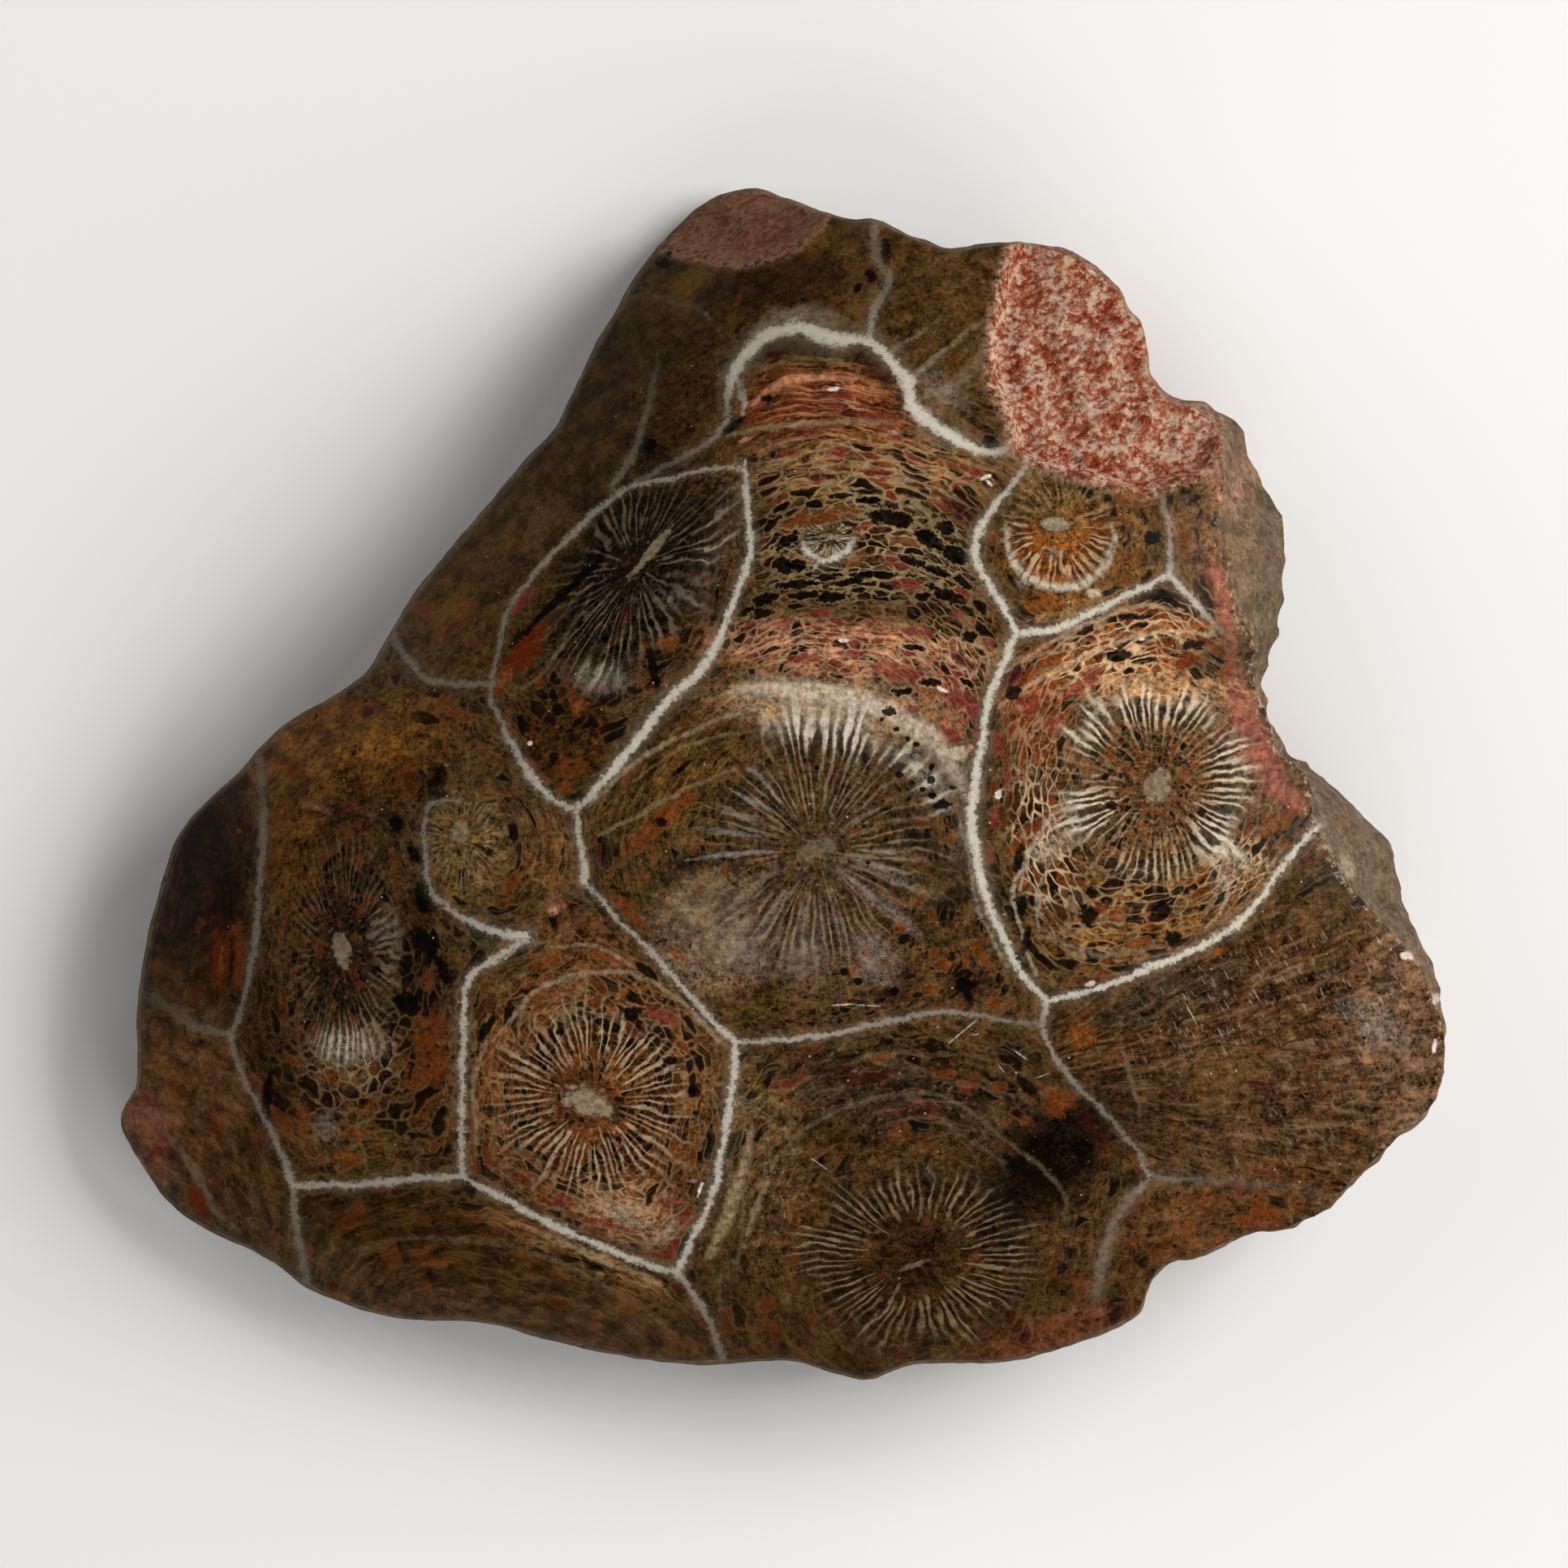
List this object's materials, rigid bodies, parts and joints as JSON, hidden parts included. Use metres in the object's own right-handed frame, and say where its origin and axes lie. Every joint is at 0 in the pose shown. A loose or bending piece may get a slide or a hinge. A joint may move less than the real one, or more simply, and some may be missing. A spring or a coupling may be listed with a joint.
{
  "type": "polished fossil coral slice",
  "caption": "Palm-sized piece of fossil colony coral with a domed polished face of many-sided cells, a flat sawn back and a rough broken side.",
  "frame": {"origin": "middle of the outline, on the flat sawn back", "axes": "+Z out of the polished face, +X to the right and +Y to the top as the polished face is seen from above"},
  "size_m": [0.0739, 0.0667, 0.02],
  "materials": {
    "fossil_coral": "polished face, rough broken side, sawn back"
  },
  "bodies": {
    "root": {"coral_slice": "fossil_coral"}
  },
  "joints": []
}
